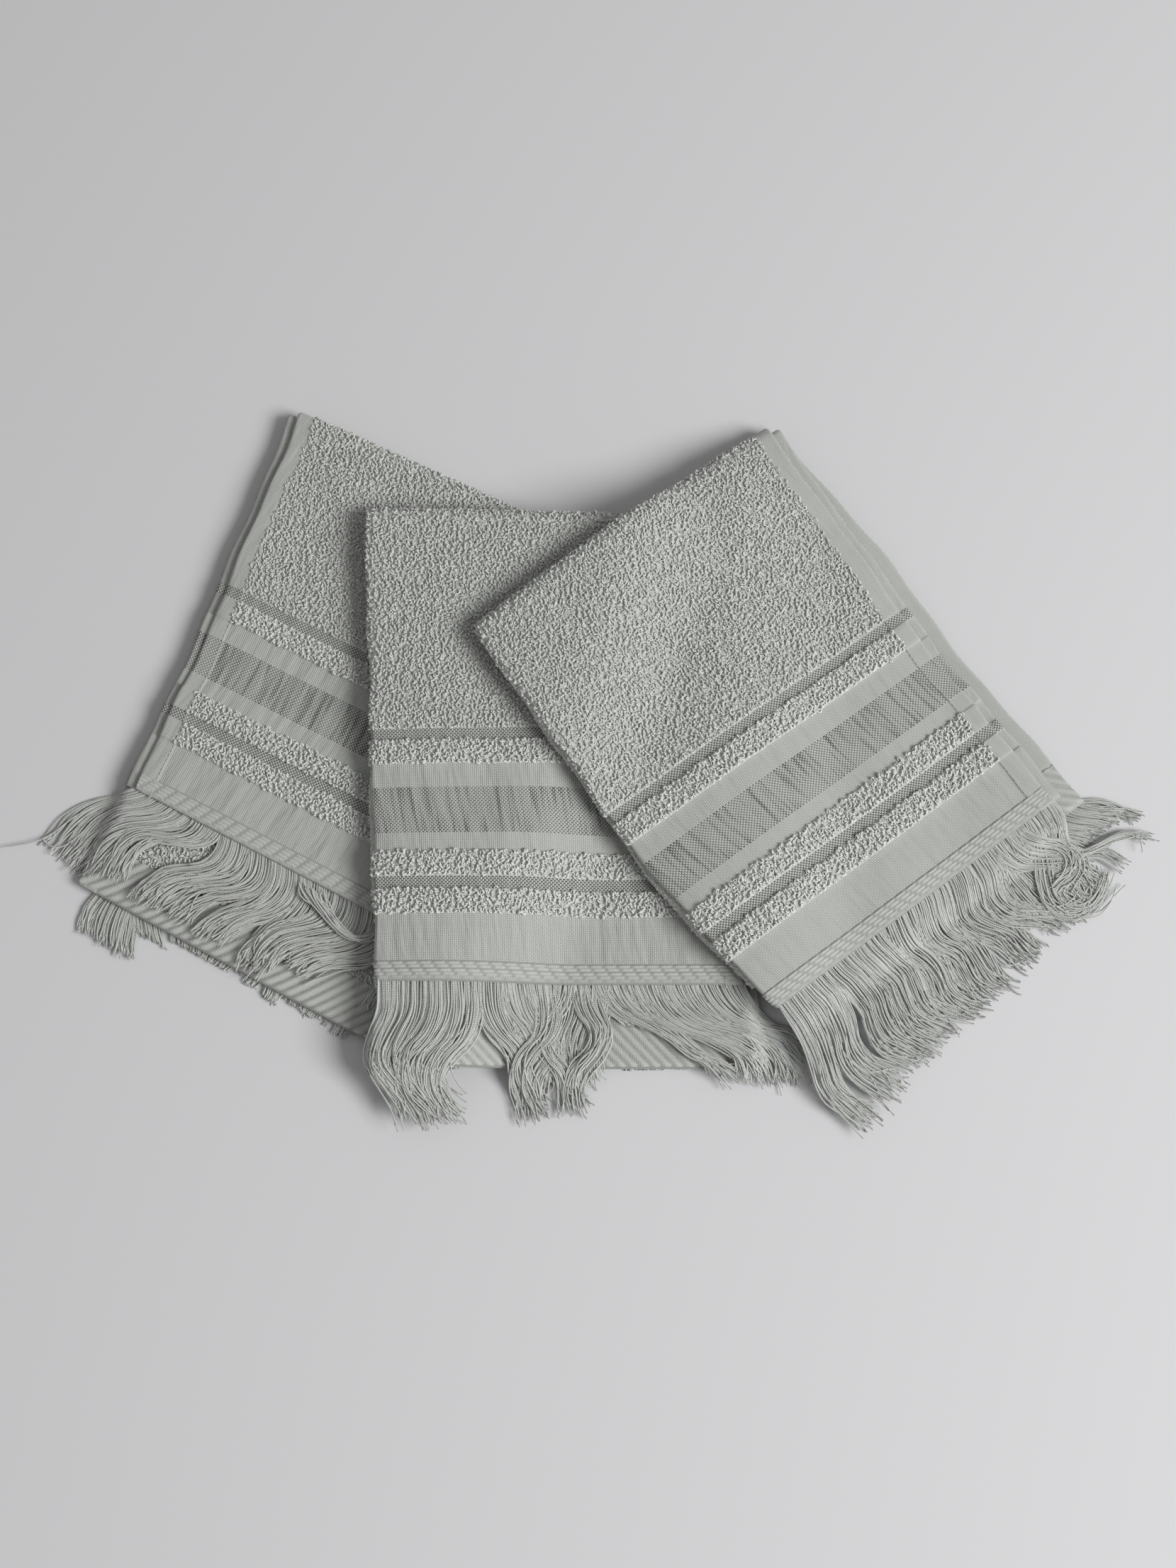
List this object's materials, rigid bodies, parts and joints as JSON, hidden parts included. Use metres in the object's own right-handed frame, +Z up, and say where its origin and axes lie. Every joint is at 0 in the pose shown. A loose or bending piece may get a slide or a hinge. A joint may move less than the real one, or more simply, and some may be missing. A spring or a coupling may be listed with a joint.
{
  "type": "fringed hand towel set",
  "caption": "Matching fringed terry hand towels with woven stripes, each folded and laid in an overlapping fan.",
  "frame": {"origin": "bottom centre of the set's bounding box, on the surface the towels lie on", "axes": "+X along the fan from the lowest towel to the top one, +Y from the fringes towards the crosswise folds, +Z up"},
  "size_m": [0.6477, 0.4298, 0.0504],
  "materials": {
    "terry": "light sage-grey cotton terry, dense upright loops on both faces, matte",
    "plain_weave": "light sage-grey plain-woven cotton, fine visible grid, matte",
    "dark_weave": "dark sage weft on a light warp, small checked dots, matte",
    "slub_weave": "dark slubbed weft on a light warp, uneven darker streaks, matte",
    "header_weave": "light sage-grey cotton with raised diagonal rope ribs and twined picks, matte",
    "hem_weave": "plain-woven side hem, turned twice and lockstitched, matte",
    "fringe_yarn": "loose twisted cotton warp yarns with frayed ends, matte"
  },
  "bodies": {
    "left_towel": {"left_terry_field": "terry", "left_inner_stripe": "dark_weave", "left_first_pile_rib": "terry", "left_first_plain_band": "plain_weave", "left_wide_stripe": "slub_weave", "left_second_plain_band": "plain_weave", "left_second_pile_rib": "terry", "left_outer_stripe": "dark_weave", "left_third_pile_rib": "terry", "left_end_band": "plain_weave", "left_twined_header": "header_weave", "left_fringe": "fringe_yarn", "left_outer_side_hem": "hem_weave", "left_inner_side_hem": "hem_weave", "left_ribbed_border": "header_weave", "left_tucked_fringe": "fringe_yarn"},
    "middle_towel": {"middle_terry_field": "terry", "middle_inner_stripe": "dark_weave", "middle_first_pile_rib": "terry", "middle_first_plain_band": "plain_weave", "middle_wide_stripe": "slub_weave", "middle_second_plain_band": "plain_weave", "middle_second_pile_rib": "terry", "middle_outer_stripe": "dark_weave", "middle_third_pile_rib": "terry", "middle_end_band": "plain_weave", "middle_twined_header": "header_weave", "middle_fringe": "fringe_yarn", "middle_outer_side_hem": "hem_weave", "middle_inner_side_hem": "hem_weave", "middle_ribbed_border": "header_weave", "middle_tucked_fringe": "fringe_yarn"},
    "right_towel": {"right_terry_field": "terry", "right_inner_stripe": "dark_weave", "right_first_pile_rib": "terry", "right_first_plain_band": "plain_weave", "right_wide_stripe": "slub_weave", "right_second_plain_band": "plain_weave", "right_second_pile_rib": "terry", "right_outer_stripe": "dark_weave", "right_third_pile_rib": "terry", "right_end_band": "plain_weave", "right_twined_header": "header_weave", "right_fringe": "fringe_yarn", "right_outer_side_hem": "hem_weave", "right_inner_side_hem": "hem_weave", "right_ribbed_border": "header_weave", "right_tucked_fringe": "fringe_yarn"}
  },
  "joints": [
    {"name": "middle_towel_lift", "type": "slide", "parent": "left_towel", "child": "middle_towel", "axis": [0, 0, 1], "range_m": [0, 0.25]},
    {"name": "right_towel_lift", "type": "slide", "parent": "middle_towel", "child": "right_towel", "axis": [0, 0, 1], "range_m": [0, 0.25]}
  ]
}
